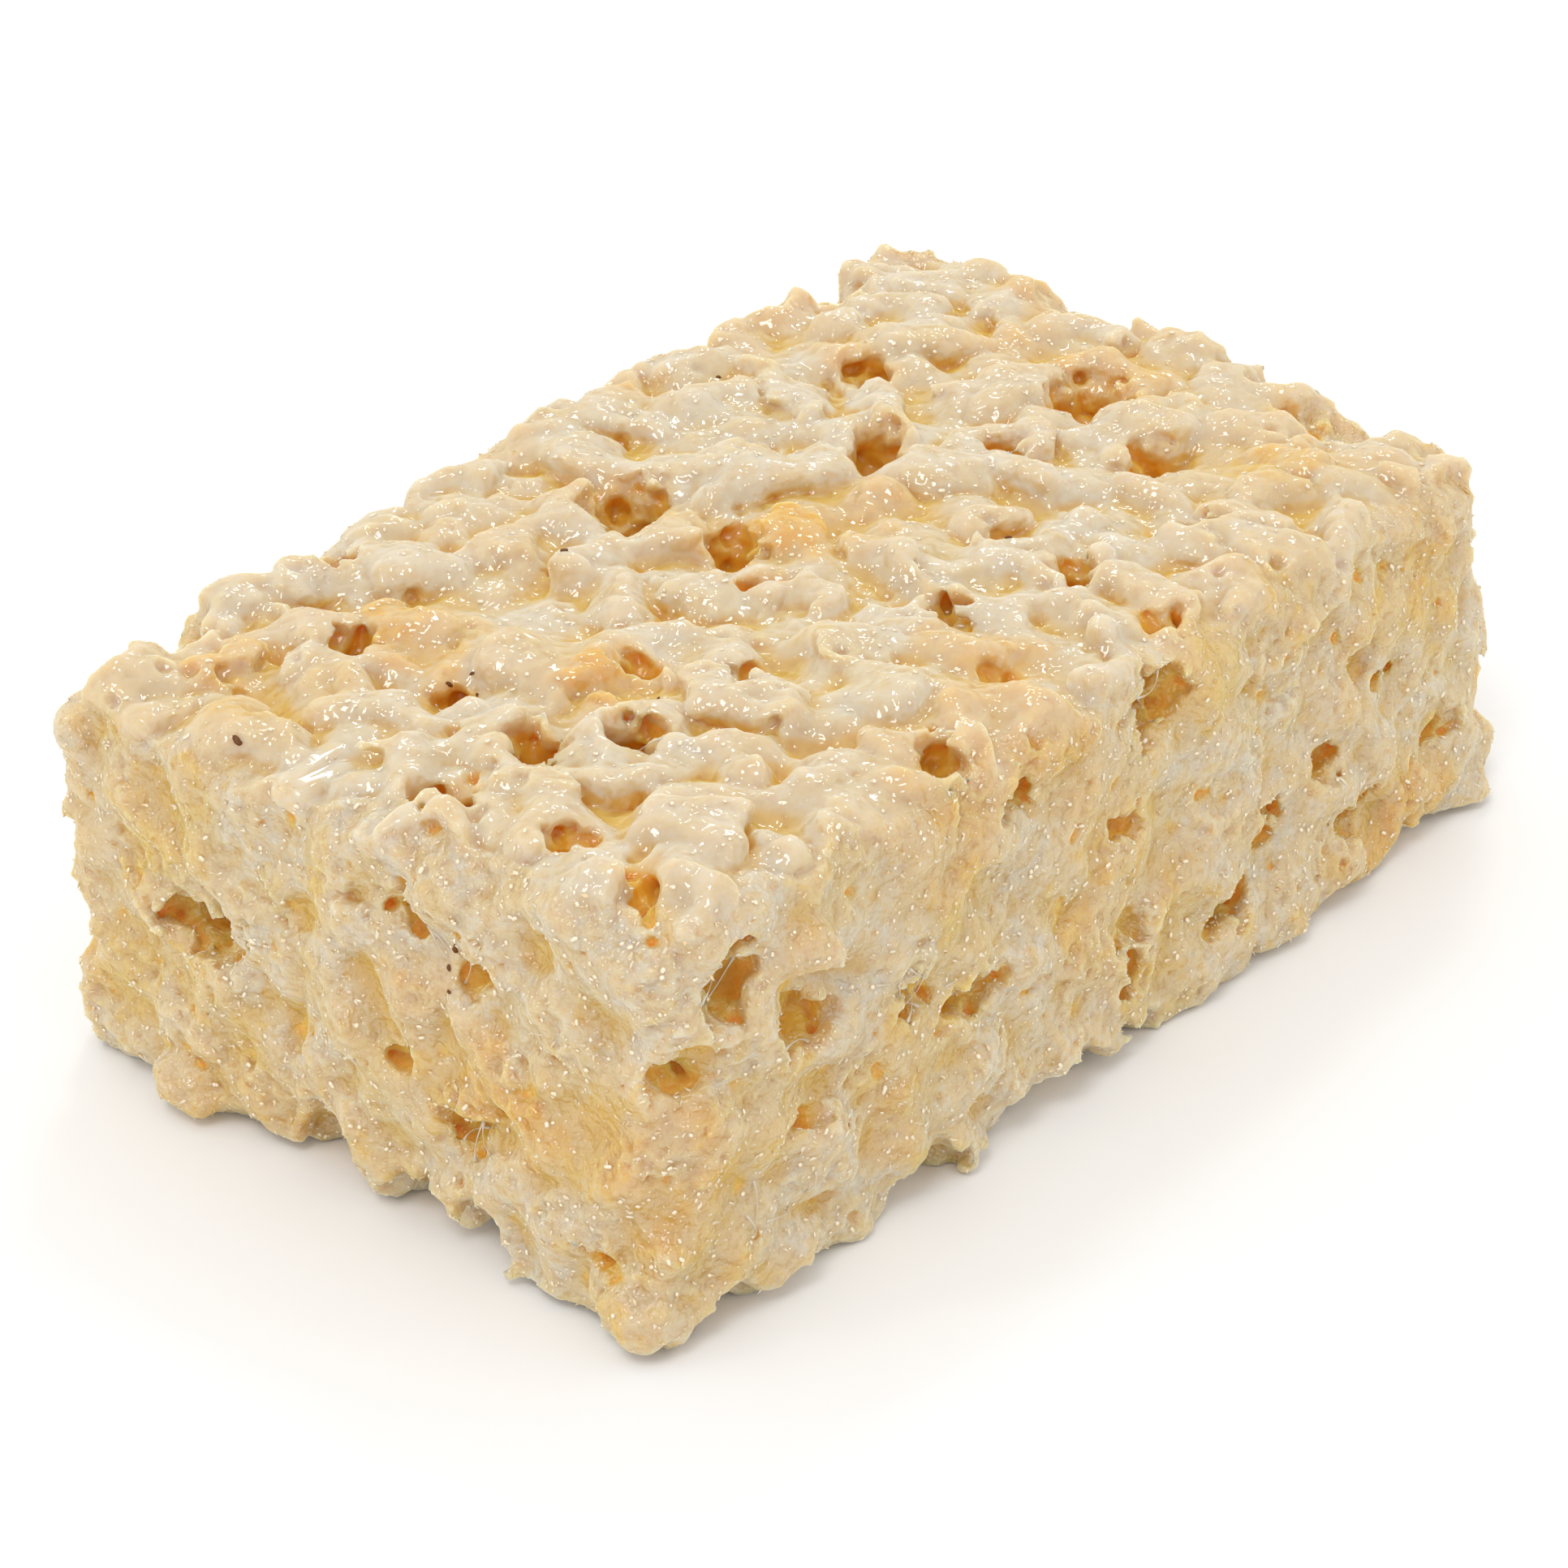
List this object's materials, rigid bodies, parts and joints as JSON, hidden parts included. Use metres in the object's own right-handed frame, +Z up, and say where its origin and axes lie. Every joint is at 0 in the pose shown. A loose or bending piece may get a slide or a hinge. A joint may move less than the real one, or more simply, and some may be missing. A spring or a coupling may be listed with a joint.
{
  "type": "crispy rice treat",
  "caption": "Thick rectangular bar of puffed rice bound with marshmallow, with a glazed, pitted top and rough cut sides.",
  "frame": {"origin": "centre of the bar's bounding box in plan, on the flat base that it rests on", "axes": "+X along the bar's length, +Y across it, +Z up out of the glazed top"},
  "size_m": [0.0708, 0.0442, 0.0228],
  "materials": {
    "rice_and_marshmallow": "cream puffed rice under a clear, sticky marshmallow glaze, duller where it is cut"
  },
  "bodies": {
    "root": {"crispy_rice_bar": "rice_and_marshmallow"}
  },
  "joints": []
}
